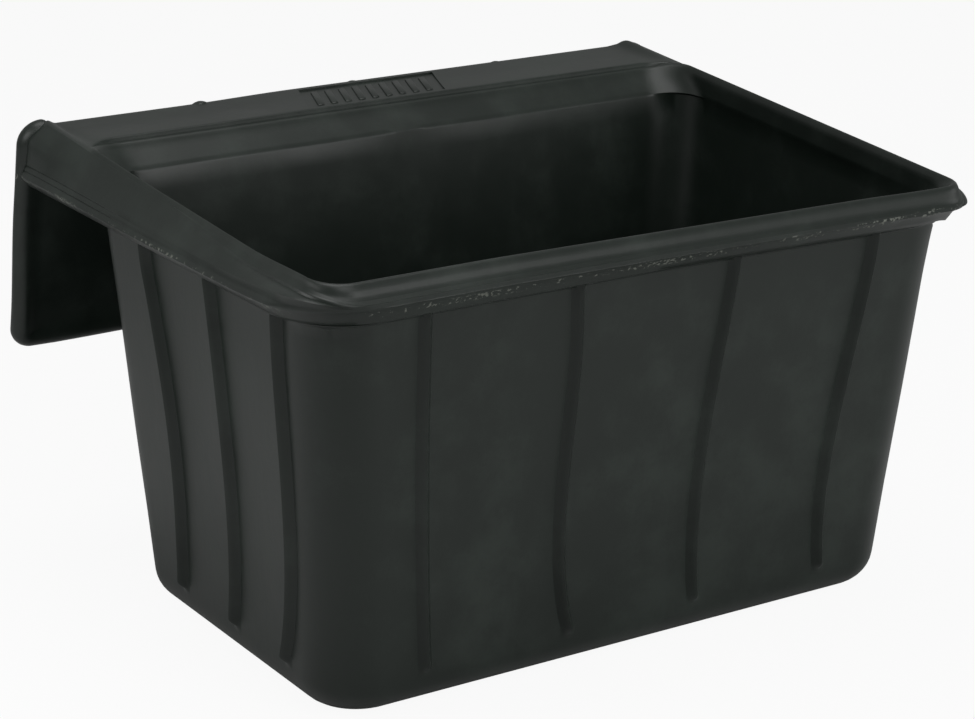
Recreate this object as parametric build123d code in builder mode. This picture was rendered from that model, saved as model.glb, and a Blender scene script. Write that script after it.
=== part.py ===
from build123d import *
from math import cos, radians, sin, tan
import os

# A moulded rubber feeder that hangs over a fence rail. Millimetres, Z up, front towards -Y.
# The origin is the middle of the flat underside of the tub.

# Tub
base_width = 350.0
base_depth = 211.0
lip_height = 212.0
side_flare = 16.0
front_flare = 22.0
back_flare = 12.5
corner_radius = 32.0
base_edge_radius = 20.0
wall = 6.0
floor_thickness = 8.0
inside_corner_radius = 26.0
inside_floor_radius = 14.0

# Rim: out from the wall to the parting line, then up to the mouth
rim_overhang = 14.0
rim_underside = 8.0
rim_face_lean = 26.0
rim_roof_angle = 35.0
rim_height = 20.0
rim_rise = 3.6
parting_land = 1.6
lip_corner_ease = 2.0

# Mouth, measured from where the walls meet the rim
mouth_side_step = -1.5
mouth_front_step = 4.0
mouth_back_step = 11.0
mouth_corner_radius = 22.0
mouth_flare_depth = 15.0
mouth_edge_radius = 2.0

# Hook
shelf_depth = 45.0
shelf_thickness = 11.0
shelf_haunch = 15.0
shelf_web = 8.0
end_flange = 15.0
hook_corner_radius = 8.0
skirt_length = 135.0
skirt_lean = 14.0
skirt_thickness = 8.0
skirt_bead_radius = 6.5
skirt_bead_lift = 2.8
skirt_corner_radius = 8.0
ear_length = 13.0

# Ribs
rib_width = 13.0
rib_height = 4.5
rib_end_height = 24.0
front_rib_count = 4
front_rib_spacing = 90.0
front_rib_low_spacing = 82.0
side_rib_count = 3
side_rib_spacing = 70.0
side_rib_low_spacing = 57.0
side_rib_shift = -19.0
side_rib_low_shift = -9.0
hook_rib_count = 3
hook_rib_spacing = 97.0
hook_rib_width = 14.0
hook_rib_height = 5.0
hook_rib_end_gap = 24.0
hook_rib_lift = 1.2
hook_rib_root_cover = 1.0

# Plain panel of slanted bars on the shelf
panel_width = 88.0
panel_length = 36.0
panel_slant = 13.0
panel_depth = 1.2
panel_bar_count = 9
panel_bar_width = 4.0
panel_bar_length = 24.0

# Steel inside the rubber
rod_radius = 3.0
rod_above_parting = 1.5
rod_inset = 7.5
rod_end_cover = 14.0
rod_corner_radius = 38.0
strap_width = 20.0
strap_thickness = 3.0
strap_cover = 2.5
strap_bend_radius = 7.0
strap_wall_leg = 60.0
strap_end_cover = 26.0

# How near counts as touching when an edge is looked up, and how far a cutting shape runs past what it cuts
touch = 0.05
past = 10.0

# Places worked out from the sizes
lip_half = base_width / 2 + side_flare
lip_front = base_depth / 2 + front_flare
lip_back = base_depth / 2 + back_flare
parting_height = lip_height + rim_underside
parting_half = lip_half + rim_overhang
parting_front = lip_front + rim_overhang
mouth_half = lip_half + mouth_side_step
mouth_front = lip_front + mouth_front_step
mouth_back = lip_back + mouth_back_step
mouth_front_height = lip_height + rim_height
shelf_back = mouth_back + shelf_depth
rise = tan(radians(rim_rise))
lean = tan(radians(skirt_lean))

# The mouth's edge and the shelf lie in one plane that climbs towards the back.
top_plane = Plane(origin=(0, -mouth_front, mouth_front_height), x_dir=(1, 0, 0), z_dir=(0, -rise, 1))
per_depth = 1 / cos(radians(rim_rise))


def top_height(y):
    """Height of the top plane at a depth."""
    return mouth_front_height + (y + mouth_front) * rise


shelf_back_height = top_height(shelf_back)


def skirt_back(z):
    """Depth of the skirt's rear face at a height."""
    return shelf_back + (shelf_back_height - z) * lean


def tub_half(z):
    """Half the tub's width outside, at a height."""
    return base_width / 2 + z * side_flare / lip_height


def tub_front(z):
    """Distance from the middle to the tub's front wall outside, at a height."""
    return base_depth / 2 + z * front_flare / lip_height


def tub_back(z):
    """Depth of the tub's back wall outside, at a height."""
    return base_depth / 2 + z * back_flare / lip_height


def outline(plane, half_width, front, back, front_radius, back_radius):
    """Rounded rectangle from y = front to y = back in the plane."""
    with BuildSketch(plane) as shape:
        with Locations((0, (front + back) / 2)):
            Rectangle(2 * half_width, back - front)
        corners = vertices().sort_by(Axis.Y)
        fillet(corners[:2], front_radius)
        corners = vertices().sort_by(Axis.Y)
        fillet(corners[-2:], back_radius)
    return shape.sketch


def flared_block(low, high, inset, upright_radius, bottom_radius):
    """Block between two heights whose flat sides lean as the tub's walls do, moved inwards by an inset."""
    with BuildPart() as block:
        with BuildSketch(Plane.XZ):
            Polygon((inset - tub_half(low), low), (tub_half(low) - inset, low),
                    (tub_half(high) - inset, high), (inset - tub_half(high), high), align=None)
        extrude(amount=tub_front(high) + past, both=True)
        with BuildSketch(Plane.YZ):
            Polygon((inset - tub_front(low), low), (tub_back(low) - inset, low),
                    (tub_back(high) - inset, high), (inset - tub_front(high), high), align=None)
        extrude(amount=tub_half(high) + past, both=True, mode=Mode.INTERSECT)
        level = edges().group_by(Axis.Z)
        fillet(edges() - level[0] - level[-1], upright_radius)
        fillet(edges().group_by(Axis.Z)[0], bottom_radius)
    return block.part


# Tub outside, up into the rim
tub = flared_block(0, parting_height, 0, corner_radius, base_edge_radius)


def rim_outline(z, half_width, front, front_radius):
    """Outline of the rim and the shelf at a height, as far back as the skirt's rear face."""
    return outline(Plane.XY.offset(z), half_width, -front, skirt_back(z), front_radius, hook_corner_radius)


# Underside of the rim, from the walls out to the upright land at the parting line
land_low = parting_height - parting_land / 2
land_high = parting_height + parting_land / 2
parting_radius = corner_radius + rim_overhang
lip_outline = rim_outline(lip_height, lip_half, lip_front, corner_radius + lip_corner_ease)
land_outline = rim_outline(land_low, parting_half, parting_front, parting_radius)
with BuildPart() as rim_under:
    loft([lip_outline, land_outline], ruled=True)

# Rim and shelf above that: the land, then leaning outer faces under a roof that slopes away from the mouth
face_height = shelf_back_height - land_high + past
face_inset = face_height * tan(radians(rim_face_lean))
with BuildPart() as rim:
    face_low = rim_outline(land_high, parting_half, parting_front, parting_radius)
    face_top = rim_outline(land_high + face_height, parting_half - face_inset, parting_front - face_inset,
                           parting_radius - face_inset)
    loft([land_outline, face_low, face_top], ruled=True)

roof_drop = face_height + rim_height
roof_reach = roof_drop / tan(radians(rim_roof_angle))
roof_length = (shelf_back + mouth_front + shelf_depth) * per_depth
with BuildPart() as roof:
    eaves = outline(top_plane.offset(-roof_drop), mouth_half + roof_reach, -roof_reach, roof_length,
                    mouth_corner_radius + roof_reach, hook_corner_radius)
    ridge = outline(top_plane, mouth_half, 0, roof_length, mouth_corner_radius, hook_corner_radius)
    loft([eaves, ridge], ruled=True)

# Skirt of the hook, in a plane that leans back as it goes down. A round bead runs along its three free edges
# and turns inwards at the top, where it stands a little above the shelf as an ear at each end.
skirt_plane = Plane(origin=(0, shelf_back, shelf_back_height), x_dir=(1, 0, 0),
                    z_dir=(0, -cos(radians(skirt_lean)), -sin(radians(skirt_lean))))
bead_half = parting_half - skirt_bead_radius
bead_low = skirt_length - skirt_bead_radius
bead_high = skirt_bead_radius - skirt_bead_lift
ear_end = bead_half - ear_length
with BuildPart() as skirt:
    with BuildSketch(skirt_plane):
        with Locations((0, -(bead_low + shelf_thickness) / 2)):
            Rectangle(2 * bead_half, bead_low - shelf_thickness)
        fillet(vertices().sort_by(Axis.Y)[:2], skirt_corner_radius)
    extrude(amount=skirt_thickness)
    with BuildLine(skirt_plane.offset(skirt_thickness / 2)) as bead_path:
        FilletPolyline((-ear_end, -bead_high), (-bead_half, -bead_high), (-bead_half, -bead_low),
                       (bead_half, -bead_low), (bead_half, -bead_high), (ear_end, -bead_high),
                       radius=skirt_corner_radius)
    with BuildSketch(Plane(origin=bead_path.line @ 0, z_dir=bead_path.line % 0)):
        Circle(skirt_bead_radius)
    sweep(path=bead_path.line)
    with Locations(bead_path.line @ 0, bead_path.line @ 1):
        Sphere(skirt_bead_radius)


def rounded_bar(low, high, radius, inward, ball_on_top=False):
    """Round bar between two points with a ball at its lower end, and at its upper end if asked."""
    along = high - low
    length = along.length
    side = Plane(origin=low, x_dir=along, z_dir=along.cross(inward))
    with BuildPart() as bar:
        with BuildSketch(side):
            with BuildLine():
                Line((-radius, 0), (length + (radius if ball_on_top else 0), 0))
                CenterArc((0, 0), radius, 90, 90)
                Line((0, radius), (length, radius))
                if ball_on_top:
                    CenterArc((length, 0), radius, 0, 90)
                else:
                    Line((length, radius), (length, 0))
            make_face()
        revolve(axis=Axis(low, along))
    return bar.part


def bar_radius(width, height):
    """Radius of the round bar whose part above a flat face has this width and height."""
    return (width * width / 4 + height * height) / (2 * height)


# Raised ribs down the tub's front and sides
rib_radius = bar_radius(rib_width, rib_height)
rib_sink = rib_radius - rib_height


def wall_rib(low_place, high_place, reach, flare, turn):
    """Rib on one wall, from its places along the wall and the wall's reach, flare and turn about Z."""
    ends = []
    for place, z in ((low_place, rib_end_height), (high_place, lip_height + rim_underside / 2)):
        out = reach + flare * z / lip_height - rib_sink
        ends.append(Vector(place, -out, z).rotate(Axis.Z, turn))
    return rounded_bar(*ends, rib_radius, Vector(0, 1, 0).rotate(Axis.Z, turn))


def rib_places(count, spacing, shift=0.0):
    """Places of evenly spaced ribs about a middle."""
    return [(i - (count - 1) / 2) * spacing + shift for i in range(count)]


front_places = zip(rib_places(front_rib_count, front_rib_low_spacing),
                   rib_places(front_rib_count, front_rib_spacing))
side_places = zip(rib_places(side_rib_count, side_rib_low_spacing, side_rib_low_shift),
                  rib_places(side_rib_count, side_rib_spacing, side_rib_shift))
with BuildPart() as ribs:
    for low_place, high_place in front_places:
        add(wall_rib(low_place, high_place, base_depth / 2, front_flare, 0))
    for low_place, high_place in side_places:
        add(wall_rib(low_place, high_place, base_width / 2, side_flare, 90))
        add(wall_rib(-low_place, -high_place, base_width / 2, side_flare, -90))

# Ribs down the rear of the skirt, with their roots stopped short of its inner face
hook_rib_radius = bar_radius(hook_rib_width, hook_rib_height)
hook_rib_sink = hook_rib_radius - hook_rib_height
hook_rib_places = rib_places(hook_rib_count, hook_rib_spacing)
with BuildPart() as hook_ribs:
    for place in hook_rib_places:
        start = skirt_plane.from_local_coords(Vector(place, hook_rib_end_gap - skirt_length, hook_rib_sink))
        end = skirt_plane.from_local_coords(Vector(place, -hook_rib_radius + hook_rib_lift, hook_rib_sink))
        add(rounded_bar(start, end, hook_rib_radius, Vector(0, -1, 0), True))
    split(bisect_by=skirt_plane.offset(skirt_thickness - hook_rib_root_cover), keep=Keep.BOTTOM)

# Hollows: the tub's inside, and the pockets under the shelf between its webs and end flanges
with BuildPart() as hollow:
    add(flared_block(floor_thickness, shelf_back_height + past, wall,
                     inside_corner_radius, inside_floor_radius))
    flare_low = outline(top_plane.offset(-mouth_flare_depth), lip_half - wall,
                        (mouth_front - lip_front + wall) * per_depth,
                        (lip_back - wall + mouth_front) * per_depth,
                        inside_corner_radius, inside_corner_radius)
    flare_top = outline(top_plane, mouth_half, 0, (mouth_back + mouth_front) * per_depth,
                        mouth_corner_radius, mouth_corner_radius)
    loft([flare_low, flare_top], ruled=True)


def skirt_front(z):
    """Depth of the skirt's face towards the tub, at a height."""
    return skirt_back(z) - skirt_thickness / cos(radians(skirt_lean))


walls_below = lip_height - wall
ceiling_back = top_height(skirt_front(parting_height)) - shelf_thickness
ceiling_front = top_height(lip_back) - shelf_thickness
haunch_low = (tub_back(ceiling_front - shelf_haunch), ceiling_front - shelf_haunch)
haunch_top = (lip_back + shelf_haunch, top_height(lip_back + shelf_haunch) - shelf_thickness)
pocket_edges = [-parting_half + end_flange]
for place in hook_rib_places:
    pocket_edges += [place - shelf_web / 2, place + shelf_web / 2]
pocket_edges.append(parting_half - end_flange)
with BuildPart() as pockets:
    for left, right in zip(pocket_edges[::2], pocket_edges[1::2]):
        with BuildSketch(Plane.YZ.offset(left)):
            Polygon((tub_back(walls_below), walls_below), (skirt_front(walls_below), walls_below),
                    (skirt_front(ceiling_back), ceiling_back), haunch_top, haunch_low, align=None)
        extrude(amount=right - left)

# Sunk panel of plain slanted bars
panel_middle = (shelf_back - shelf_depth / 2 + mouth_front) * per_depth
panel_plane = top_plane.shift_origin(top_plane.from_local_coords((0, panel_middle, 0)))


def slanted(width, length):
    """Corners of an upright parallelogram about the origin, leaning with the panel."""
    shift = panel_slant * length / panel_length / 2
    half_w, half_l = width / 2, length / 2
    return [(-half_w - shift, -half_l), (half_w - shift, -half_l),
            (half_w + shift, half_l), (-half_w + shift, half_l)]


with BuildPart() as panel:
    with BuildSketch(panel_plane):
        Polygon(*slanted(panel_width, panel_length), align=None)
        fillet(vertices(), panel_bar_width / 2)
        with GridLocations(panel_width / (panel_bar_count + 1), 0, panel_bar_count, 1):
            Polygon(*slanted(panel_bar_width, panel_bar_length), align=None, mode=Mode.SUBTRACT)
    extrude(amount=-panel_depth)


def on_mouth_edge(edge):
    """Whether an edge runs round the mouth, in the top plane."""
    ends = [top_plane.to_local_coords(edge @ share) for share in (0.0, 0.5, 1.0)]
    in_plane = all(abs(end.Z) < touch for end in ends)
    middle = edge @ 0.5
    return in_plane and abs(middle.X) < mouth_half + touch and middle.Y < mouth_back + touch


# Steel rod round the rim
rod_half = parting_half - rod_inset
rod_front = parting_front - rod_inset
rod_back = skirt_front(parting_height) - rod_end_cover
with BuildPart() as rim_rod:
    with BuildLine(Plane.XY.offset(parting_height + rod_above_parting)) as rod_path:
        FilletPolyline((-rod_half, rod_back), (-rod_half, -rod_front), (rod_half, -rod_front),
                       (rod_half, rod_back), radius=rod_corner_radius)
    with BuildSketch(Plane(origin=rod_path.line @ 0, z_dir=rod_path.line % 0)):
        Circle(rod_radius)
    sweep(path=rod_path.line)
rim_rod.part.label = "rim_rod"

# Flat steel straps, bent over from the tub's back wall through the shelf and down the skirt
strap_middle = strap_cover + strap_thickness / 2
strap_wall_low = lip_height - strap_wall_leg
flare_low_corner = (lip_back - wall, top_height(lip_back - wall) - mouth_flare_depth)


def midway(place, one, other):
    """Point at a place along X, midway between two points that are each given as depth and height."""
    return Vector(place, (one[0] + other[0]) / 2, (one[1] + other[1]) / 2)


def strap_route(place):
    """Centre line of a strap: up the back wall, out between flare and haunch, back and down the skirt."""
    skirt_high = skirt_plane.from_local_coords(Vector(place, -shelf_thickness / 2, strap_middle))
    skirt_low = skirt_plane.from_local_coords(Vector(place, strap_end_cover - skirt_length, strap_middle))
    return [Vector(place, tub_back(strap_wall_low) - wall / 2, strap_wall_low),
            midway(place, flare_low_corner, haunch_low),
            midway(place, (mouth_back, top_height(mouth_back)), haunch_top),
            skirt_high, skirt_low]


straps = []
for place in hook_rib_places:
    with BuildPart() as strap:
        with BuildLine() as strap_path:
            FilletPolyline(*strap_route(place), radius=strap_bend_radius)
        with BuildSketch(Plane(origin=strap_path.line @ 0, x_dir=(1, 0, 0), z_dir=strap_path.line % 0)):
            Rectangle(strap_width, strap_thickness)
        sweep(path=strap_path.line)
    straps.append(strap.part)

# The rubber moulding
with BuildPart() as feeder_moulding:
    add(rim.part)
    add(roof.part, mode=Mode.INTERSECT)
    add(rim_under.part)
    add(tub)
    for piece in (skirt, ribs, hook_ribs):
        add(piece.part)
    for piece in (hollow, pockets, panel, rim_rod):
        add(piece.part, mode=Mode.SUBTRACT)
    for strap in straps:
        add(strap, mode=Mode.SUBTRACT)
    fillet(edges().filter_by(on_mouth_edge), mouth_edge_radius)
feeder_moulding.part.label = "feeder_moulding"

os.makedirs("parts", exist_ok=True)
export_step(feeder_moulding.part, "parts/feeder_moulding.step")
export_step(rim_rod.part, "parts/rim_rod.step")
for name, strap in zip(("hook_strap_left", "hook_strap_middle", "hook_strap_right"), straps):
    strap.label = name
    export_step(strap, f"parts/{name}.step")
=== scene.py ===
import math

import bmesh
import bpy
import numpy as np
from bpy.props import FloatProperty, FloatVectorProperty, IntProperty, PointerProperty
from bpy.types import Operator, Panel, PropertyGroup
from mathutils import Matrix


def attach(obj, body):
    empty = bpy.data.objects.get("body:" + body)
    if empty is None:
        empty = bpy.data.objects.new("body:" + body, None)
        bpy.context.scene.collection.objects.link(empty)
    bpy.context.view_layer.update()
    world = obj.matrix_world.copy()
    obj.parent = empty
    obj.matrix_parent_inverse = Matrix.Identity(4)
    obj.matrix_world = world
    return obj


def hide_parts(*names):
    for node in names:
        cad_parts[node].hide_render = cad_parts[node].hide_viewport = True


bl_info = {
    "name": "Fence feeder",
    "version": (1, 0, 0),
    "blender": (4, 5, 0),
    "location": "3D View > Sidebar > Feeder",
    "description": "Builds the skin, the finishes and the stage of a rubber feeder that hangs over a fence rail",
    "category": "Object",
}

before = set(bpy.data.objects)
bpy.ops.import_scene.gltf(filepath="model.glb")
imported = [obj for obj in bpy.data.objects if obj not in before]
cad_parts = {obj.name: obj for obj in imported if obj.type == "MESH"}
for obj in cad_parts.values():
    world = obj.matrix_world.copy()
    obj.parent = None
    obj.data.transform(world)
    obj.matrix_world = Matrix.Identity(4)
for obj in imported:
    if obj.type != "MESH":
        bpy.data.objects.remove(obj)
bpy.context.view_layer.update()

MM = 0.001

# The moulding's main sizes in millimetres, as in the solid that this skin replaces
LIP_HEIGHT = 212.0
BASE_HALF = 175.0
BASE_FRONT = 105.5
SIDE_FLARE = 16.0 / LIP_HEIGHT
FRONT_FLARE = 22.0 / LIP_HEIGHT
BACK_FLARE = 12.5 / LIP_HEIGHT
WALL = 6.0
FLOOR = 8.0
REAR_RADIUS = 25.5
INNER_REAR_RADIUS = 23.0
# The left and right front corners differ: radius outside, inside and at the mouth, and how fast it grows outwards
LEFT_CORNER = (32.0, 26.0, 16.0, 1.3)
RIGHT_CORNER = (28.0, 19.0, 11.0, 1.8)
BASE_EDGE = 17.0
FLOOR_EDGE = 14.0
MOUTH_HALF = 189.5
MOUTH_FRONT = 131.5
MOUTH_BACK = 129.0
MOUTH_LOW = 232.0
RISE = math.tan(math.radians(3.6))
SHELF_BACK = 174.0
SHELF_TOP = MOUTH_LOW + (SHELF_BACK + MOUTH_FRONT) * RISE
HOOK_LEAN = math.radians(14.0)
SKIRT_LENGTH = 135.0
SKIRT_THICKNESS = 8.0
SKIRT_HALF = 205.0
EAR_LIFT = 2.8
HOOK_RIB_PLACES = (-97.0, 0.0, 97.0)

# Middles of the ribs as (place along the wall, height), as they wander down the walls
LEFT_FRONT_RIBS = (
    ((-48, 205), (-47, 163), (-49, 98), (-45, 42), (-39, 23)),
    ((-134, 209), (-133, 179), (-127, 61), (-124, 23)),
)
RIGHT_FRONT_RIBS = (
    ((46, 209), (38, 136), (35, 80), (35, 52), (40, 21)),
    ((135, 207), (129, 153), (121, 97), (121, 32), (123, 20)),
)
SIDE_RIBS = (
    ((-89, 214), (-87, 178), (-83, 126), (-80, 83), (-76, 60), (-63, 25)),
    ((-20, 211), (-22, 149), (-21, 95), (-16, 60), (-9, 25)),
    ((51, 201), (46, 172), (40, 108), (41, 74), (46, 39), (49, 25)),
)
RIB_WINDOW = 5.5  # the columns of faces gather this far each side of a rib's middle
RIB_CREST = 0.02  # how round the crest of a rib is; 0 would be a sharp fold
RIB_FOOT, RIB_FOOT_ROUND = 21.0, 6.0  # height at which the ribs end, and the round of their ends

# Section of the rim from the inside of the flare, over the mouth's edge, out to the parting line and back in
# under the lip. Each row: steps to the next row; reach beyond the mouth at the front, sides and back; growth of
# the front corner's radius; radius of the rear corner; drop below the mouth's plane at the front, sides and back;
# share of the fixed height; fixed height at the front, sides and back; share of the crease along the sides; share
# of the grooves at the hook's ends; how far the hook's end faces bulge to meet the ears.
RIM_ROWS = (
    (5, -9.3, -2.1, -15.4, 6.2, 26.0, 14.2, 14.2, 14.2, 0, 0, 0, 0, 0, 0, 0),
    (2, -3.0, -1.6, -5.0, 2.8, 23.0, 4.0, 3.4, 6.0, 0, 0, 0, 0, 0, 0, 0),
    (1, -1.2, -0.8, -3.2, 0.3, 22.3, 1.8, 1.2, 4.2, 0, 0, 0, 0, 0, 0, 0),
    (1, -0.6, -0.3, -2.5, 0.1, 22.1, 0.9, 0.5, 3.2, 0, 0, 0, 0, 0, 0, 0),
    (1, 0.2, 0.3, -1.5, 0.0, 22.0, 0.2, 0.0, 2.6, 0, 0, 0, 0, 0, 0, 0),
    (1, 1.2, 0.9, -0.3, 0.1, 22.0, 0.1, 0.15, 2.4, 0, 0, 0, 0, 0, 0, 0),
    (1, 2.3, 1.3, 0.6, 0.4, 22.0, 0.8, 0.5, 2.3, 0, 0, 0, 0, 0, 0, 0),
    (1, 3.4, 1.7, 0.95, 0.9, 22.0, 2.0, 1.0, 1.9, 0, 0, 0, 0, 0, 0, 0),
    (1, 4.3, 2.0, 1.15, 1.5, 22.0, 3.6, 1.5, 0.7, 0, 0, 0, 0, 0.1, 0, 0),
    (1, 5.0, 2.3, 1.7, 2.1, 22.0, 5.2, 1.8, 0.15, 0, 0, 0, 0, 0.2, 0, 0),
    (18, 6.2, 2.4, 2.8, 2.8, 21.5, 7.3, 1.9, 0.0, 0, 0, 0, 0, 0.3, 0, 0),
    (1, 8.0, 2.5, 43.4, 4.5, 8.6, 8.3, 1.7, 0.0, 0, 0, 0, 0, 0.92, 0, 0),
    (1, 8.9, 2.7, 44.3, 5.0, 8.4, 8.3, 1.8, 0.15, 0, 0, 0, 0, 0.97, 0, 0),
    (1, 9.6, 3.0, 44.9, 5.5, 8.2, 8.8, 2.2, 0.7, 0, 223.4, 226.6, 226.6, 1, 0, 0),
    (1, 9.95, 3.5, 45.3, 6.0, 8.1, 9.7, 3.1, 1.6, 0, 223.4, 226.6, 226.6, 1, 0, 0),
    (1, 9.94, 5.0, 46.2, 6.8, 8.1, 9.7, 3.1, 1.6, 0.167, 223.4, 226.6, 226.6, 0.88, 0, 3.2),
    (1, 9.93, 6.5, 47.1, 7.7, 8.0, 9.7, 3.1, 1.6, 0.333, 223.4, 226.6, 226.6, 0.77, 0, 5.2),
    (1, 9.93, 8.1, 48.1, 8.5, 8.0, 9.7, 3.1, 1.6, 0.5, 223.4, 226.6, 226.6, 0.65, 0, 4.4),
    (2, 9.92, 9.6, 49.0, 9.3, 8.0, 9.7, 3.1, 1.6, 0.667, 223.4, 226.6, 226.6, 0.53, 0, 3.0),
    (1, 9.9, 12.6, 50.8, 11.0, 8.0, 9.7, 3.1, 1.6, 1, 223.4, 226.6, 226.6, 0.3, 0, 0.3),
    (1, 9.85, 12.9, 51.0, 12.0, 8.0, 0, 0, 0, 1, 223.1, 226.0, 226.0, 0.2, 1, 0),
    (1, 9.8, 13.2, 51.1, 13.0, 8.0, 0, 0, 0, 1, 222.8, 225.3, 225.3, 0.1, 0, 0),
    (1, 9.75, 13.8, 51.4, 15.0, 8.0, 0, 0, 0, 1, 222.5, 223.9, 223.9, 0, 0, 0),
    (1, 9.7, 14.0, 51.6, 16.0, 8.0, 0, 0, 0, 1, 222.3, 223.2, 223.2, 0, 1, 0),
    (1, 9.7, 14.4, 51.8, 17.0, 8.0, 0, 0, 0, 1, 222.1, 222.5, 222.5, 0, 0, 0),
    (1, 9.8, 15.0, 52.2, 18.0, 8.0, 0, 0, 0, 1, 221.9, 221.4, 221.4, 0, 0, 0),
    (1, 10.0, 15.5, 52.4, 20.0, 8.0, 0, 0, 0, 1, 221.5, 220.6, 220.6, 0, 0, 0),
    (1, 9.5, 15.1, 52.6, 20.0, 8.0, 0, 0, 0, 1, 220.9, 219.8, 219.8, 0, 0, 0),
    (2, 8.2, 14.3, 52.8, 20.0, 8.0, 0, 0, 0, 1, 219.8, 219.0, 219.0, 0, 0, 0),
    (2, 4.6, 10.2, 53.4, 17.5, 8.0, 0, 0, 0, 1, 215.2, 215.2, 215.2, 0, 0, 0),
    (1, -1.9, 3.7, 54.0, 13.0, 8.0, 0, 0, 0, 1, 213.3, 213.4, 213.4, 0, 0, 0),
    (1, -1.6, 3.9, 54.2, 13.0, 8.0, 0, 0, 0, 1, 212.7, 212.8, 212.8, 0, 0, 0),
    (1, -2.0, 3.5, 54.2, 12.5, 8.0, 0, 0, 0, 1, 212.1, 212.2, 212.3, 0, 0, 0),
    (9, -2.8, 2.6, 53.8, 12.0, 8.0, 0, 0, 0, 1, 211.8, 211.9, 212.0, 0, 0, 0),
    (1, -3.9, 1.6, -10.4, 10.4, 28.0, 0, 0, 0, 1, 211.4, 211.4, 212.0, 0, 0, 0),
    (1, -4.05, 1.45, -10.9, 10.1, 28.0, 0, 0, 0, 1, 210.9, 210.9, 211.4, 0, 0, 0),
)
PARTING_ROW = 27  # place in RIM_ROWS of the torn edge of the parting line
RIM_LEVEL = 225.0  # rough height of the rim, where a row's own height isn't known yet
CREASE_REACH, CREASE_DROP = 3.0, 2.6
BAND_GROOVE = 0.5  # depth of the grooves at the hook's ends
TORN_EDGE = 0.35  # how far the torn edge of the parting line wanders in
INNER_SIDE_PUSH = 2.0  # how far the inner side walls are pushed out near the rim, so that they stand straighter
# Reach beyond the mouth at which the lip's underside lies on the front wall
LIP_REACH = -4.1

# How far soft rubber has settled up (+) or down (-) from the solid's flat faces
FRONT_SET = (3.0, -1.5)  # front edge, at its left and at its right
RIGHT_SET = (-1.8, 2.4)  # right edge, at its front and at its rear
EAR_SET = 1.6  # left end of the shelf
SHELF_SAG = (2.2, 1.3)  # shelf, at its left end and over the rest, downwards
LIP_SET = 2.4  # lip's underside towards the right front, downwards
TIP_SET = (4.5, 6.7)  # right front tip of the lip, at its top and its underside, downwards
HOOK_SET = 2.0  # hook, downwards
HOOK_BEND = 4.6  # left end of the hook's top, backwards

# Columns of faces between the knots round half the skin, from the middle of the front to the middle of the back
COLUMNS = (5, 14, 9, 14, 26, 14, 7, 14, 7, 14, 16, 12, 26)

# The hook's skirt, its edge bead, its ears and the ribs down its rear
SKIRT_LOW_CORNER, SKIRT_HIGH_CORNER = 11.2, 14.3
SKIRT_BEAD_INSET = 6.5
SKIRT_BEAD_FLANK = 0.66
SKIRT_BEAD_STEPS = 17
SKIRT_COLUMNS = (14, 14, 20, 14, 8, 6)
EAR_RUN = 12.0  # the columns of faces gather this far in from the top corners
EAR_SINK = 14.0  # how far the top edge sinks into the shelf between the ears
REAR_RIB_RADIUS, REAR_RIB_SINK, REAR_RIB_FLAT = 7.4, 2.4, 0.55
REAR_RIB_TOP, REAR_RIB_END_GAP = 6.25, 24.0

# Hollows under the shelf, and the panel on it
POCKET_HALF = 190.0
POCKET_LOW, POCKET_ROOF = 204.0, 240.0
POCKET_SLOPE = ((133.0, 237.2), (119.2, 221.4))
WEB_THICKNESS = 8.0
PANEL_WIDTH, PANEL_LENGTH, PANEL_SINK = 88.0, 36.0, 1.0
PANEL_SLANT = 13.0 / 36.0
BAR_WIDTH, BAR_LENGTH = 4.4, 25.0

# Camera of the photograph, in metres and radians
CAMERA_PLACE = (-0.77791, -1.19452, 0.60132)
CAMERA_DOWN, CAMERA_HEADING = 0.319, -0.566
CAMERA_LENS, CAMERA_SENSOR = 103.67, 36.0
# Lamps: name, place and target in metres, width in metres, power in watts
LAMPS = (
    ("top_lamp", (0.0, 0.2, 2.0), (0.0, 0.0, 0.2), 1.2, 12.0),
    ("high_lamp", (-0.2, -1.3, 2.0), (0.0, 0.0, 0.15), 1.2, 9.0),
    ("front_lamp", (0.5, -1.8, 0.7), (0.0, 0.0, 0.12), 0.9, 11.0),
    ("right_lamp", (1.0, -0.5, 0.45), (0.3, -0.2, 0.05), 0.5, 1.0),
    ("left_lamp", (-0.6, 0.06, 0.42), (-0.42, 0.04, 0.0), 0.35, 1.0),
)


def tub_half(z):
    """Half the tub's width outside: half the base plus the height times the side's flare."""
    return BASE_HALF + z * SIDE_FLARE


def tub_front(z):
    """Distance to the front wall outside: half the base's depth plus the height times the front's flare."""
    return BASE_FRONT + z * FRONT_FLARE


def tub_back(z):
    """Distance to the back wall outside: half the base's depth plus the height times the back's flare."""
    return BASE_FRONT + z * BACK_FLARE


def mouth_plane(y):
    """Height of the mouth's plane: its height at the front edge plus the depth times the rise."""
    return MOUTH_LOW + (y + MOUTH_FRONT) * RISE


def hook_rear(z):
    """Depth of the hook's rear face: the shelf's rear edge plus the fall below it times the lean."""
    return SHELF_BACK + (SHELF_TOP - z) * math.tan(HOOK_LEAN)


def smooth_step(value, low, high):
    """0 below low, 1 above high, and 3t² - 2t³ between."""
    share = np.clip((value - low) / (high - low), 0, 1)
    return share * share * (3 - 2 * share)


def ripple(along, across, pitch):
    """Slow unevenness between -1 and 1: the mean of three sines of unequal pitch and direction."""
    one = np.sin(along / pitch * 2.1 + across / pitch * 0.7 + 0.4)
    two = np.sin(along / pitch * 3.7 - across / pitch * 1.9 + 1.7)
    three = np.sin(along / pitch * 6.1 + across / pitch * 2.9 + 4.1)
    return (one + 0.7 * two + 0.5 * three) / 2.2


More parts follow.
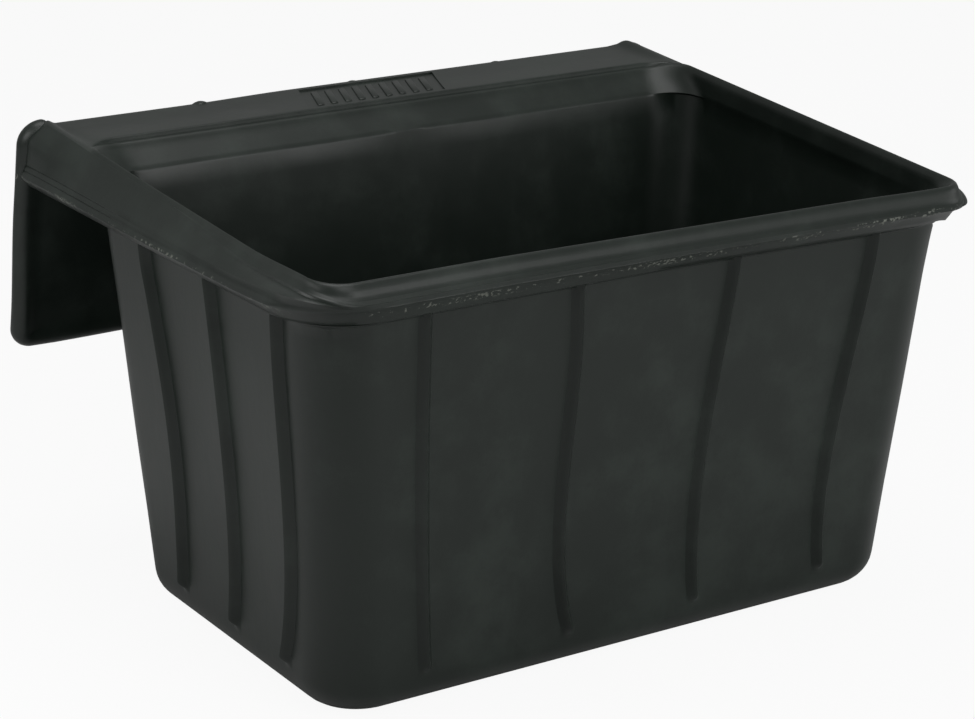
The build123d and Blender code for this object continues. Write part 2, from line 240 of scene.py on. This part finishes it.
def rib_line(points, z):
    """Middle of a wandering rib at each height: the cubic in the height that best fits its points."""
    place, height = np.array(points, float).T
    return np.polyval(np.polyfit(height, place, 3), np.clip(z, height.min(), height.max()))


def straight_ramp(value, low, high, ends):
    """The first end's value below low, the second's above high, and a straight line between."""
    return ends[0] + (ends[1] - ends[0]) * np.clip((value - low) / (high - low), 0, 1)


def soft_set(x, y, z):
    """How far the rim has moved up or down from flat, as soft rubber does: the front edge is up at the left and
    down at the right, the right edge climbs to the rear, the shelf sags between its ends, and the ends turn up
    to meet the hook's ears. The lip's tip hangs at the right front. It all fades out down the walls."""
    high = smooth_step(z, 214, 226)
    low = smooth_step(z, 175, 212) * (1 - high)
    front = 1 - smooth_step(y, -126, -60)
    rear = smooth_step(y, 60, 140)
    side = smooth_step(x, 120 + 60 * rear, 186 + 4 * rear)
    top = front * (1 - side) * straight_ramp(x, -100, 190, FRONT_SET)
    top = top + side * straight_ramp(y, -130, 170, RIGHT_SET)
    top = top + EAR_SET * smooth_step(-x, 184, 191) * smooth_step(y, 40, 172)
    sag = SHELF_SAG[0] + (SHELF_SAG[1] - SHELF_SAG[0]) * smooth_step(x, -110, -40)
    top = top - sag * smooth_step(y, 112, 158) * (1 - smooth_step(np.abs(x), 184, 191))
    lip = LIP_SET * low * smooth_step(x, -20, 180) * front
    tip = TIP_SET[1] + (TIP_SET[0] - TIP_SET[1]) * smooth_step(z, 214, 220)
    tip = tip * smooth_step(x, 170, 200) * smooth_step(-y, 90, 128)
    tip = tip * smooth_step(z, 200, 212) * (1 - smooth_step(z, 225, 231))
    return top * high - lip - tip


def new_object(name, points, faces, outward=False):
    """A mesh object from points in millimetres and faces."""
    mesh = bpy.data.meshes.new(name)
    mesh.from_pydata((np.asarray(points) * MM).tolist(), [], faces)
    if outward:
        work = bmesh.new()
        work.from_mesh(mesh)
        bmesh.ops.recalc_face_normals(work, faces=work.faces)
        work.to_mesh(mesh)
        work.free()
    mesh.validate()
    piece = bpy.data.objects.new(name, mesh)
    bpy.context.scene.collection.objects.link(piece)
    return piece


def closed_sheet(name, x, y, z, outward=False):
    """A closed skin from grids of rows and columns. The columns go round, and the first and last rows are poles."""
    rows, columns = x.shape
    ring = np.stack([x[1:-1], y[1:-1], z[1:-1]], axis=-1).reshape(-1, 3)
    poles = np.array([[x[0, 0], y[0, 0], z[0, 0]], [x[-1, 0], y[-1, 0], z[-1, 0]]])
    index = np.arange((rows - 2) * columns).reshape(rows - 2, columns)
    beside = np.roll(index, -1, axis=1)
    quads = np.stack([index[:-1], index[1:], beside[1:], beside[:-1]], axis=-1).reshape(-1, 4)
    first = len(ring)
    start = np.stack([np.full(columns, first), index[0], beside[0]], axis=-1)
    end = np.stack([np.full(columns, first + 1), beside[-1], index[-1]], axis=-1)
    faces = quads.tolist() + start.tolist() + end.tolist()
    return new_object(name, np.vstack([ring, poles]), faces, outward)


def half_ring(s, a, f, b, rf, rb):
    """Point and outward direction at a distance s round half a rounded rectangle, from the middle of the front
    to the middle of the back: a straight, a quarter circle, a straight, a quarter circle and a straight."""
    front, side, back = a - rf, b + f - rf - rb, a - rb
    turn_one, turn_two = rf * math.pi / 2, rb * math.pi / 2
    ends = np.cumsum(np.stack(np.broadcast_arrays(front, turn_one, side, turn_two)), axis=0)
    angle_one = np.clip((s - ends[0]) / rf, 0, math.pi / 2)
    angle_two = np.clip((s - ends[2]) / rb, 0, math.pi / 2)
    angle = angle_one + angle_two
    x_one = np.minimum(s, front) + rf * np.sin(angle_one)
    y_one = -f + rf - rf * np.cos(angle_one) + np.clip(s - ends[1], 0, side)
    x = x_one - rb + rb * np.cos(angle_two) - np.maximum(s - ends[3], 0)
    y = y_one + rb * np.sin(angle_two)
    return np.where(s > ends[2], x, x_one), y, np.sin(angle), -np.cos(angle)


def half_length(a, f, b, rf, rb):
    """Length of half a rounded rectangle."""
    return (a - rf) + (b + f - rf - rb) + (a - rb) + (rf + rb) * math.pi / 2


def column_places(counts):
    """For each column, the number of the knot before it and its share of the way to the next knot, with these
    counts of columns between the knots and one more on the last knot."""
    knot = np.concatenate([np.repeat(np.arange(len(counts)), counts), [len(counts) - 1]])
    share = np.concatenate([np.arange(count) / count for count in counts] + [np.ones(1)])
    return knot, share


class Rows:
    """The rows of half the moulding's skin, from the middle of the floor inside to the middle of the base."""

    def __init__(self):
        self.values = []

    def add(self, a=0.0, f=0.0, b=0.0, rf=1.0, rb=1.0, drop=(0, 0, 0), fixed=1.0, height=(0, 0, 0), crease=0.0,
            band=0.0, bulge=0.0, follow=0.0, inset=0.0, scale=1.0, rib=0.0, buried=0.0, flash=0.0):
        self.values.append((a, f, b, rf, rb, *drop, fixed, *height, crease, band, bulge, follow, inset, scale,
                            rib, buried, flash))

    def wall(self, z, inset, front_radius, rear_radius, scale=1.0, rib=0.0, fixed=1.0, drop=0.0):
        """A row that follows the leaning walls."""
        self.add(rf=front_radius, rb=rear_radius, height=(z, z, z), follow=1.0, inset=inset, scale=scale, rib=rib,
                 fixed=fixed, drop=(drop, drop, drop))

    def columns(self):
        return [column[:, None] for column in np.array(self.values, float).T]


def skin_rows(wall_rows, corner):
    """Lists every row of the skin: floor, its edge, inner walls, rim, outer walls, the base's edge and the base."""
    outer, inner, mouth, spread = corner
    rows = Rows()
    for scale in (0.0, 0.3, 0.6, 0.85, 0.97):
        rows.wall(FLOOR, WALL + FLOOR_EDGE, inner - FLOOR_EDGE, INNER_REAR_RADIUS - FLOOR_EDGE, scale=scale)
    for angle in np.linspace(0, math.pi / 2, 8):
        short = FLOOR_EDGE * (1 - math.sin(angle))
        rows.wall(FLOOR + FLOOR_EDGE * (1 - math.cos(angle)), WALL + short, inner - short, INNER_REAR_RADIUS - short)
    for share in np.linspace(0, 1, 20)[1:]:
        rows.wall(FLOOR + FLOOR_EDGE, WALL, inner, INNER_REAR_RADIUS, fixed=1 - share, drop=15.6)
    keys = np.array(RIM_ROWS)
    places = np.concatenate([[0], np.cumsum(keys[:-1, 0])])
    fine = np.arange(places[-1] + 1)
    rim = np.stack([np.interp(fine, places, keys[:, i]) for i in range(1, keys.shape[1])], axis=1)
    for number, (of, os, ob, grow, rb, df, ds, db, fixed, hf, hs, hb, crease, band, bulge) in enumerate(rim):
        flash = max(0.0, 1 - abs(number - places[PARTING_ROW]) / 2)
        low = number > places[PARTING_ROW + 2]
        rows.add(MOUTH_HALF + os, MOUTH_FRONT + of, MOUTH_BACK + ob, mouth + spread * grow, rb, (df, ds, db), fixed,
                 (hf, hs, hb), crease, band, bulge, flash=flash, rib=float(low), buried=max(0.0, of - LIP_REACH))
    for z in np.concatenate([np.linspace(209.5, 38, wall_rows), np.linspace(36, BASE_EDGE, 10)]):
        rows.wall(z, 0, outer, REAR_RADIUS, rib=1)
    for angle in np.linspace(math.pi / 2, 0, 10)[1:]:
        short = BASE_EDGE * (1 - math.sin(angle))
        rows.wall(BASE_EDGE * (1 - math.cos(angle)), short, outer - short, REAR_RADIUS - short)
    for scale in (0.97, 0.85, 0.6, 0.3, 0.0):
        rows.wall(0, BASE_EDGE, outer - BASE_EDGE, REAR_RADIUS - BASE_EDGE, scale=scale)
    return rows.columns()


def half_skin(rows, front_ribs, sizes, hand):
    """Grids of x, y and z for half the skin. Along each row the columns stand at fixed shares between knots, and
    the knots stand each side of every rib and at the ends of the rear corner, so the columns follow the ribs.
    A point is the point of the row's rounded rectangle, pushed outwards by the rib's section and the unevenness.
    Its height is the mouth's plane less a drop, or a fixed height, or a share of each."""
    (a, f, b, rf, rb, df, ds, db, fixed, hf, hs, hb, crease, band, bulge, follow, inset, scale, rib, buried,
     flash) = rows
    z = np.broadcast_to(hs + (1 - fixed) * RIM_LEVEL, (len(a), sum(COLUMNS) + 1))
    level = np.where(fixed < 1, hs * fixed + RIM_LEVEL * (1 - fixed), hs)
    knot, share = column_places(COLUMNS)
    for _ in range(3):
        half = np.where(follow > 0, tub_half(z) - inset, a)
        front = np.where(follow > 0, tub_front(z) - inset, f)
        back = np.where(follow > 0, tub_back(z) - inset, b)
        size = half, front, back, rf, rb
        flat = half_length(*size)
        corner_end = half - rf + rf * math.pi / 2
        rib_places = [rib_line(points, level) for points in front_ribs]
        rib_places += [corner_end + rib_line(points, level) + front - rf for points in SIDE_RIBS]
        knots = [np.zeros_like(flat)]
        for middle in rib_places:
            knots += [middle - RIB_WINDOW, middle + RIB_WINDOW]
        turn = flat - (half - rb) - rb * math.pi / 2
        knots += [turn, flat - (half - rb), flat]
        knots = np.stack(np.broadcast_arrays(*knots))
        take = np.arange(len(knot))
        s = knots[knot, :, take].T * (1 - share) + knots[knot + 1, :, take].T * share
        x, y, nx, ny = half_ring(s, *size)
        toward_front, toward_back = np.where(ny < 0, ny * ny, 0), np.where(ny > 0, ny * ny, 0)
        toward_side = nx * nx
        widen = crease * smooth_step(-y, -34, 80) * toward_side
        drop = toward_front * df + toward_side * ds + toward_back * db + widen * CREASE_DROP
        height = toward_front * hf + toward_side * hs + toward_back * hb
        z = (1 - fixed) * (mouth_plane(y) - drop) + fixed * height
    push = widen * CREASE_REACH - band * BAND_GROOVE * smooth_step(y, -40, 110) * toward_side
    raised = 0.0
    width = sizes.rib_width / MM / 2
    sharp, blunt = math.sqrt(RIB_CREST), math.sqrt(1 + RIB_CREST)
    foot = np.sqrt(1 - np.clip((RIB_FOOT + RIB_FOOT_ROUND - z) / RIB_FOOT_ROUND, 0, 1) ** 2)
    for middle in rib_places:
        across = np.clip(np.abs(s - middle) / width, 0, 1)
        section = (blunt - np.sqrt(across ** 2 + RIB_CREST)) / (blunt - sharp)
        raised = raised + rib * foot * section * sizes.rib_height / MM
    push = push + np.maximum(raised - buried, 0)
    uneven = sizes.unevenness / MM
    outer_wall = follow * rib * smooth_step(z, 20, 60) * (1 - smooth_step(z, 170, 208))
    push = push + outer_wall * uneven * ripple(s, z, 90.0)
    push = push - flash * TORN_EDGE * (1 + ripple(s, z, 9.0)) / 2
    inside = follow * (1 - rib) * (inset > WALL - 0.1)
    push = push + inside * (fixed < 1) * smooth_step(z, 22, 60) * 0.6 * uneven * ripple(s + 40, z, 110.0)
    push = push + inside * smooth_step(z, 130, 222) * INNER_SIDE_PUSH * toward_side
    push = push + bulge * smooth_step(y, 110, 168) * toward_side
    x, y = (x + nx * push) * scale, (y + ny * push) * scale
    return hand * x, y, z + soft_set(hand * x, y, z)


class FeederSizes(PropertyGroup):
    """Sizes that can be changed without leaving the solid's box."""
    rib_width: FloatProperty(name="Rib width", description="Width of the ribs on the walls",
                             default=0.0076, unit="LENGTH", subtype="DISTANCE")
    rib_height: FloatProperty(name="Rib height", description="How far the ribs stand out",
                              default=0.0048, unit="LENGTH", subtype="DISTANCE")
    unevenness: FloatProperty(name="Unevenness", description="How far the walls stray from flat",
                              default=0.0006, unit="LENGTH", subtype="DISTANCE")
    bead_thin: FloatProperty(name="Skirt bead at its thinnest", description="Radius of the edge bead below the ears",
                             default=0.005, unit="LENGTH", subtype="DISTANCE")
    bead_end: FloatProperty(name="Skirt bead at its ends", description="Radius of the edge bead low down and high up",
                            default=0.0065, unit="LENGTH", subtype="DISTANCE")
    bar_count: IntProperty(name="Panel bars", description="How many plain bars the panel on the shelf has",
                           default=9, min=1, max=20)
    wall_rows: IntProperty(name="Wall rows", description="Rows of faces down the outer walls",
                           default=34, min=8, max=80)


class FeederColours(PropertyGroup):
    """Colours of the rubber and the steel."""
    rubber: FloatVectorProperty(name="Rubber", description="Main colour of the rubber", subtype="COLOR", size=3,
                                default=(0.0086, 0.0134, 0.0102), min=0, max=1)
    bloom: FloatVectorProperty(name="Bloom", description="Paler colour where the rubber is dusty or scuffed",
                               subtype="COLOR", size=3, default=(0.024, 0.033, 0.027), min=0, max=1)
    flash: FloatVectorProperty(name="Flash", description="Pale specks along the torn moulding line",
                               subtype="COLOR", size=3, default=(0.13, 0.14, 0.12), min=0, max=1)
    steel: FloatVectorProperty(name="Steel", description="Colour of the steel inside the rubber", subtype="COLOR",
                               size=3, default=(0.45, 0.45, 0.46), min=0, max=1)


class Wire:
    """A value in a material. Adding it, multiplying it or taking it from a number adds the Math node for that."""

    def __init__(self, maker, socket):
        self.maker, self.socket = maker, socket

    def math(self, operation, one, two):
        return self.maker.add("ShaderNodeMath", {"operation": operation}, [one, two])

    def __add__(self, other):
        return self.math("ADD", self, other)

    def __rsub__(self, other):
        return self.math("SUBTRACT", other, self)

    def __mul__(self, other):
        return self.math("MULTIPLY", self, other)

    __radd__ = __add__
    __rmul__ = __mul__


class Nodes:
    """Makes the nodes of one material or world."""

    def __init__(self, owner):
        owner.use_nodes = True
        self.tree = owner.node_tree
        self.tree.nodes.clear()

    def add(self, kind, settings, inputs, output=0):
        """Adds a node, sets its settings, then gives its sockets their values or links."""
        node = self.tree.nodes.new(kind)
        for name, value in settings.items():
            setattr(node, name, value)
        items = inputs.items() if isinstance(inputs, dict) else enumerate(inputs)
        for name, value in items:
            if isinstance(value, Wire):
                self.tree.links.new(value.socket, node.inputs[name])
            elif value is not None:
                node.inputs[name].default_value = value
        return Wire(self, node.outputs[output]) if node.outputs else node

    def noise(self, place, scale, detail=3.0, roughness=0.5, stretch=(1, 1, 1)):
        """Noise on a stretched place, from about 0 to 1."""
        moved = self.add("ShaderNodeVectorMath", {"operation": "MULTIPLY"}, [place, stretch])
        return self.add("ShaderNodeTexNoise", {}, {"Vector": moved, "Scale": scale, "Detail": detail,
                                                   "Roughness": roughness})

    def ramp(self, value, low, high):
        """0 below low and 1 above high, smooth between."""
        return self.add("ShaderNodeMapRange", {"interpolation_type": "SMOOTHSTEP"}, {"Value": value, 1: low, 2: high})

    def mix(self, share, one, two):
        """A mix of two colours."""
        wrap = [c if isinstance(c, Wire) else (*c, 1) for c in (one, two)]
        return self.add("ShaderNodeMix", {"data_type": "RGBA"}, {0: share, 6: wrap[0], 7: wrap[1]}, output=2)


def rubber_material(colours):
    """Dark satin rubber: slow mottling, flow marks down the walls, a fine grain, dusty patches, and pale torn
    specks along the moulding line."""
    material = bpy.data.materials.new("moulded_rubber")
    n = Nodes(material)
    place = n.add("ShaderNodeTexCoord", {}, {}, output=3)
    parts = n.tree.nodes.new("ShaderNodeSeparateXYZ")
    n.tree.links.new(place.socket, parts.inputs[0])
    x, y, z = (Wire(n, parts.outputs[i]) for i in range(3))
    slow = n.noise(place, 7.0, detail=2.0)
    patches = n.noise(place, 34.0, detail=5.0, roughness=0.62)
    flow = n.noise(place, 26.0, detail=4.0, roughness=0.6, stretch=(1, 1, 0.22))
    grain = n.noise(place, 420.0, detail=4.0, roughness=0.65)
    dust = n.ramp(patches * 0.6 + flow * 0.25 + slow * 0.35 + grain * 0.14, 0.60, 0.84)
    colour = n.mix(dust * 0.6, colours.rubber, colours.bloom)
    at_line = n.ramp(z, 0.2178, 0.2192) * (1 - n.ramp(z, 0.2212, 0.2222))
    outside = n.ramp(n.add("ShaderNodeMath", {"operation": "ABSOLUTE"}, [x]), 0.1985, 0.2015)
    outside = n.add("ShaderNodeMath", {"operation": "MAXIMUM"}, [outside, n.ramp(y * -1.0, 0.1365, 0.1385)])
    torn = n.noise(place, 420.0, detail=2.0, roughness=0.6)
    along = n.noise(place, 22.0, detail=3.0)
    specks = n.ramp(torn + along * 0.7, 0.93, 1.01) * at_line * outside
    colour = n.mix(specks, colour, colours.flash)
    rough = 0.27 + 0.14 * patches + 0.09 * flow + 0.20 * specks
    relief = slow * 0.9 + flow * 0.35 + patches * 0.22 + grain * 0.035 + specks * 0.25
    bump = n.add("ShaderNodeBump", {}, {"Strength": 0.55, "Distance": 0.0011, "Height": relief})
    shader = n.add("ShaderNodeBsdfPrincipled", {}, {
        "Base Color": colour, "Roughness": rough, "Normal": bump, "Specular IOR Level": 0.42, "IOR": 1.5})
    n.add("ShaderNodeOutputMaterial", {}, {"Surface": shader})
    return material


def steel_material(colours):
    """Plain drawn steel: fine scratches along its length, dull patches and a trace of brown."""
    material = bpy.data.materials.new("reinforcing_steel")
    n = Nodes(material)
    place = n.add("ShaderNodeTexCoord", {}, {}, output=3)
    drawn = n.noise(place, 900.0, detail=3.0, stretch=(0.08, 1, 1))
    dull = n.noise(place, 60.0, detail=4.0)
    colour = n.mix(n.ramp(dull, 0.52, 0.75) * 0.4, colours.steel, (0.20, 0.13, 0.09))
    bump = n.add("ShaderNodeBump", {}, {"Strength": 0.2, "Distance": 0.0002, "Height": drawn})
    shader = n.add("ShaderNodeBsdfPrincipled", {}, {
        "Base Color": colour, "Roughness": 0.34 + 0.2 * dull, "Metallic": 1.0, "Normal": bump})
    n.add("ShaderNodeOutputMaterial", {}, {"Surface": shader})
    return material


def skirt_grids(sizes):
    """Grids for the hook's skirt: rounded rectangles drawn in from its outline, from the middle of its rear face,
    round the edge bead, to the middle of its inner face. The bead is a circle that thins below the ears. Along the
    top the outline sinks into the shelf except at its ends, where it stands up as the ears."""
    half_height = (SKIRT_LENGTH + EAR_LIFT) / 2
    turn = np.linspace(-SKIRT_BEAD_FLANK, math.pi + SKIRT_BEAD_FLANK, SKIRT_BEAD_STEPS)
    middle_out = np.array([0.0, 0.4, 0.8, 0.97])
    flat = np.ones(len(middle_out))
    drawn_in = flat * (1 + math.sin(SKIRT_BEAD_FLANK))
    inset = np.concatenate([drawn_in, 1 - np.sin(turn), drawn_in])[:, None] * SKIRT_BEAD_INSET
    out = np.concatenate([0 * flat, -np.cos(turn), 0 * flat])[:, None]
    face = np.concatenate([-flat, 0 * turn, flat])[:, None]
    scale = np.concatenate([middle_out, np.ones(SKIRT_BEAD_STEPS), middle_out[::-1]])[:, None]
    half, depth = SKIRT_HALF - inset, half_height - inset
    low, high = SKIRT_LOW_CORNER - inset, SKIRT_HIGH_CORNER - inset
    length = half_length(half, depth, depth, low, high)
    straight = length - (half - high)
    knots = np.stack([0 * half, half - low, half - low + low * math.pi / 2, straight - high * math.pi / 2, straight,
                      straight + EAR_RUN, length])
    knot, share = column_places(SKIRT_COLUMNS)
    s = knots[knot, :, 0].T * (1 - share) + knots[knot + 1, :, 0].T * share
    x, up, _, _ = half_ring(s, half, depth, depth, low, high)
    x, up = x * scale, up * scale
    x = np.hstack([x, -x[:, -2:0:-1]])
    up = np.hstack([up, up[:, -2:0:-1]])
    sink = EAR_SINK * smooth_step(up, half_height - 14, half_height - 3) * (1 - smooth_step(np.abs(x), 183.5, 190))
    fall = half_height - EAR_LIFT - up + sink
    thin = smooth_step(fall, 12, 36) * (1 - smooth_step(fall, 60, SKIRT_LENGTH - 12))
    thick = (sizes.bead_end * (1 - thin) + sizes.bead_thin * thin) / MM
    middle = SKIRT_THICKNESS / 2
    wave = 0.35 * (1 + ripple(x, fall, 70.0)) * smooth_step(fall, 40, 90) * (1 - smooth_step(np.abs(x), 180, 192))
    offset = middle + face * middle + out * thick + wave
    bent = HOOK_BEND * smooth_step(-x, 120, 200) * (1 - smooth_step(fall, 50, 120))
    y = SHELF_BACK + bent + fall * math.sin(HOOK_LEAN) - offset * math.cos(HOOK_LEAN)
    z = SHELF_TOP - HOOK_SET - fall * math.cos(HOOK_LEAN) - offset * math.sin(HOOK_LEAN)
    return x, y, z


def rear_rib(place):
    """One rib down the rear of the skirt: a round bar with a ball at each end, flattened towards the front."""
    radius = REAR_RIB_RADIUS
    start, end = SKIRT_LENGTH - REAR_RIB_END_GAP, REAR_RIB_TOP
    columns = np.linspace(0, 2 * math.pi, 25)[:-1]
    cap = np.linspace(0, math.pi / 2, 7)
    along = np.concatenate([start + radius * np.cos(cap), np.linspace(start, end, 12)[1:-1],
                            end - radius * np.cos(cap[::-1])])
    reach = np.concatenate([radius * np.sin(cap), np.full(10, radius), radius * np.sin(cap[::-1])])
    across = reach[:, None] * np.cos(columns)
    out = reach[:, None] * np.sin(columns)
    out = REAR_RIB_SINK + np.where(out > 0, out * REAR_RIB_FLAT, out)
    fall = along[:, None] + 0 * across
    x = place + across
    y = SHELF_BACK + fall * math.sin(HOOK_LEAN) - out * math.cos(HOOK_LEAN)
    z = SHELF_TOP - HOOK_SET - fall * math.cos(HOOK_LEAN) - out * math.sin(HOOK_LEAN)
    return x, y, z


def prism(name, corners_low, corners_high):
    """A closed block between two outlines of the same number of corners."""
    count = len(corners_low)
    ring = range(count)
    sides = [(i, (i + 1) % count, count + (i + 1) % count, count + i) for i in ring]
    faces = sides + [tuple(ring)[::-1], tuple(count + i for i in ring)]
    return new_object(name, np.vstack([corners_low, corners_high]), faces, outward=True)


def rounded_edges(piece, width, segments=3):
    """Rounds the edges of a block."""
    bevel = piece.modifiers.new("rounding", "BEVEL")
    bevel.width, bevel.segments, bevel.limit_method = width * MM, segments, "ANGLE"
    apply_modifiers(piece)


def apply_modifiers(piece):
    """Replaces the piece's mesh with what its modifiers make of it."""
    graph = bpy.context.evaluated_depsgraph_get()
    mesh = bpy.data.meshes.new_from_object(piece.evaluated_get(graph))
    piece.modifiers.clear()
    old = piece.data
    piece.data = mesh
    bpy.data.meshes.remove(old)


def combine(piece, other, operation):
    """Joins the other piece to this one or cuts it out, and removes the other."""
    change = piece.modifiers.new("combine", "BOOLEAN")
    change.operation, change.object, change.solver = operation, other, "MANIFOLD"
    before = len(piece.data.polygons)
    apply_modifiers(piece)
    if len(piece.data.polygons) == before:
        raise RuntimeError(f"{other.name} didn't change {piece.name}")
    bpy.data.objects.remove(other)


def slanted(middle_x, middle_y, width, length, sink):
    """Corners of a leaning parallelogram on the shelf, at a height against the shelf's plane."""
    half, lean = length / 2, PANEL_SLANT * length / 2
    corners = [(-width / 2 - lean, -half), (width / 2 - lean, -half), (width / 2 + lean, half),
               (-width / 2 + lean, half)]
    flat = [(middle_x + x, middle_y + y, mouth_plane(middle_y + y)) for x, y in corners]
    return [(x, y, z + sink + float(soft_set(x, y, z))) for x, y, z in flat]


def pocket_blocks():
    """The four hollows under the shelf, between its webs and end walls."""
    tilt = math.cos(HOOK_LEAN)
    edges = [-POCKET_HALF]
    for place in HOOK_RIB_PLACES:
        edges += [place - WEB_THICKNESS / 2, place + WEB_THICKNESS / 2]
    edges.append(POCKET_HALF)

    def inner_face(z):
        return hook_rear(z) - SKIRT_THICKNESS / tilt - 0.4
    side = [(tub_back(POCKET_LOW) + 0.3, POCKET_LOW), (inner_face(POCKET_LOW), POCKET_LOW),
            (inner_face(POCKET_ROOF), POCKET_ROOF), *POCKET_SLOPE]
    for number, (left, right) in enumerate(zip(edges[::2], edges[1::2])):
        ends = [[(x, y, z) for y, z in side] for x in (left, right)]
        block = prism(f"pocket_{number}", *ends)
        rounded_edges(block, 1.6)
        yield block


class FEEDER_OT_moulding(Operator):
    """Builds the skin of the one-piece rubber moulding: the tub, the rim, the shelf and the hook"""
    bl_idname = "feeder.moulding"
    bl_label = "Moulding"

    def execute(self, context):
        sizes, colours = context.scene.feeder_sizes, context.scene.feeder_colours
        right = half_skin(skin_rows(sizes.wall_rows, RIGHT_CORNER), RIGHT_FRONT_RIBS, sizes, 1)
        mirrored_ribs = [[(-place, height) for place, height in rib] for rib in LEFT_FRONT_RIBS]
        left = half_skin(skin_rows(sizes.wall_rows, LEFT_CORNER), mirrored_ribs, sizes, -1)
        x, y, z = (np.hstack([one, other[:, -2:0:-1]]) for one, other in zip(right, left))
        body = closed_sheet("feeder_skin", x, y, z)
        for block in pocket_blocks():
            combine(body, block, "DIFFERENCE")
        middle = (SHELF_BACK + MOUTH_BACK) / 2
        recess = prism("recess", slanted(0, middle, PANEL_WIDTH, PANEL_LENGTH, -PANEL_SINK),
                       slanted(0, middle, PANEL_WIDTH, PANEL_LENGTH, 4.0))
        combine(body, recess, "DIFFERENCE")
        for number in range(sizes.bar_count):
            place = (number - (sizes.bar_count - 1) / 2) * PANEL_WIDTH / (sizes.bar_count + 1)
            bar = prism(f"bar_{number}", slanted(place, middle, BAR_WIDTH, BAR_LENGTH, -2.4),
                        slanted(place, middle, BAR_WIDTH, BAR_LENGTH, 0.0))
            rounded_edges(bar, 0.8, 2)
            combine(body, bar, "UNION")
        combine(body, closed_sheet("skirt", *skirt_grids(sizes), outward=True), "UNION")
        for place in HOOK_RIB_PLACES:
            combine(body, closed_sheet("rear_rib", *rear_rib(place), outward=True), "UNION")
        body.data.shade_smooth()
        body.data.set_sharp_from_angle(angle=math.radians(38))
        body.data.materials.clear()
        body.data.materials.append(rubber_material(colours))
        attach(body, "root")
        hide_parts("feeder_moulding")
        return {"FINISHED"}


class FEEDER_OT_steel(Operator):
    """Gives the steel rod and straps inside the rubber their finish"""
    bl_idname = "feeder.steel"
    bl_label = "Steel inside"

    def execute(self, context):
        finish = steel_material(context.scene.feeder_colours)
        for name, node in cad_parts.items():
            if name != "feeder_moulding":
                node.data.materials.clear()
                node.data.materials.append(finish)
        return {"FINISHED"}


class FEEDER_OT_stage(Operator):
    """Sets up the floor, the background, the lamps and the camera"""
    bl_idname = "feeder.stage"
    bl_label = "Stage"

    def execute(self, context):
        self.floor()
        self.background()
        for lamp in LAMPS:
            self.lamp(*lamp)
        self.camera()
        return {"FINISHED"}

    def floor(self):
        reach = 6000.0
        floor = new_object("floor", [(-reach, -reach, -0.3), (reach, -reach, -0.3), (reach, reach, -0.3),
                                     (-reach, reach, -0.3)], [(0, 1, 2, 3)])
        material = bpy.data.materials.new("floor_white")
        n = Nodes(material)
        white = n.add("ShaderNodeBsdfDiffuse", {}, {"Color": (0.7, 0.7, 0.7, 1)})
        glow = n.add("ShaderNodeEmission", {}, {"Color": (1, 1, 1, 1), "Strength": 1.0})
        seen = n.add("ShaderNodeLightPath", {}, {})
        shader = n.add("ShaderNodeMixShader", {}, [seen * 0.93, white, glow])
        n.add("ShaderNodeOutputMaterial", {}, {"Surface": shader})
        floor.data.materials.append(material)

    def background(self):
        world = bpy.data.worlds.new("white_room")
        bpy.context.scene.world = world
        n = Nodes(world)
        path = n.tree.nodes.new("ShaderNodeLightPath")
        seen = Wire(n, path.outputs["Is Camera Ray"])
        mirrored = Wire(n, path.outputs["Is Glossy Ray"])
        strength = 0.14 + seen * 0.86 + mirrored * 0.16
        sky = n.add("ShaderNodeBackground", {}, {"Color": (1, 1, 1, 1), "Strength": strength})
        n.add("ShaderNodeOutputWorld", {}, {"Surface": sky})

    def lamp(self, name, place, target, size, power):
        light = bpy.data.lights.new(name, "AREA")
        light.size, light.energy = size, power
        holder = bpy.data.objects.new(name, light)
        bpy.context.scene.collection.objects.link(holder)
        holder.location = place
        holder.visible_camera = False
        toward = np.array(target, float) - np.array(place, float)
        flat = math.hypot(toward[0], toward[1])
        holder.rotation_euler = (math.atan2(flat, -toward[2]), 0, math.atan2(-toward[0], toward[1]))

    def camera(self):
        lens = bpy.data.cameras.new("photo_camera")
        lens.sensor_width, lens.lens, lens.sensor_fit = CAMERA_SENSOR, CAMERA_LENS, "HORIZONTAL"
        holder = bpy.data.objects.new("photo_camera", lens)
        bpy.context.scene.collection.objects.link(holder)
        holder.location = CAMERA_PLACE
        holder.rotation_euler = (math.pi / 2 - CAMERA_DOWN, 0, CAMERA_HEADING)
        bpy.context.scene.camera = holder
        bpy.context.scene.view_settings.view_transform = "Standard"


class FEEDER_PT_parts(Panel):
    """Lists the steps that build the feeder"""
    bl_label = "Feeder"
    bl_idname = "FEEDER_PT_parts"
    bl_space_type = "VIEW_3D"
    bl_region_type = "UI"
    bl_category = "Feeder"

    def draw(self, context):
        for step in STEPS:
            self.layout.operator(step.bl_idname)
        for group in (context.scene.feeder_sizes, context.scene.feeder_colours):
            for name in group.__annotations__:
                self.layout.prop(group, name)


STEPS = (FEEDER_OT_moulding, FEEDER_OT_steel, FEEDER_OT_stage)
CLASSES = (FeederSizes, FeederColours, *STEPS, FEEDER_PT_parts)


def register():
    for each in CLASSES:
        bpy.utils.register_class(each)
    bpy.types.Scene.feeder_sizes = PointerProperty(type=FeederSizes)
    bpy.types.Scene.feeder_colours = PointerProperty(type=FeederColours)


def unregister():
    del bpy.types.Scene.feeder_colours
    del bpy.types.Scene.feeder_sizes
    for each in reversed(CLASSES):
        bpy.utils.unregister_class(each)


def main():
    """Registers the add-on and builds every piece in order."""
    register()
    bpy.ops.feeder.moulding()
    bpy.ops.feeder.steel()
    bpy.ops.feeder.stage()


if __name__ == "__main__":
    main()
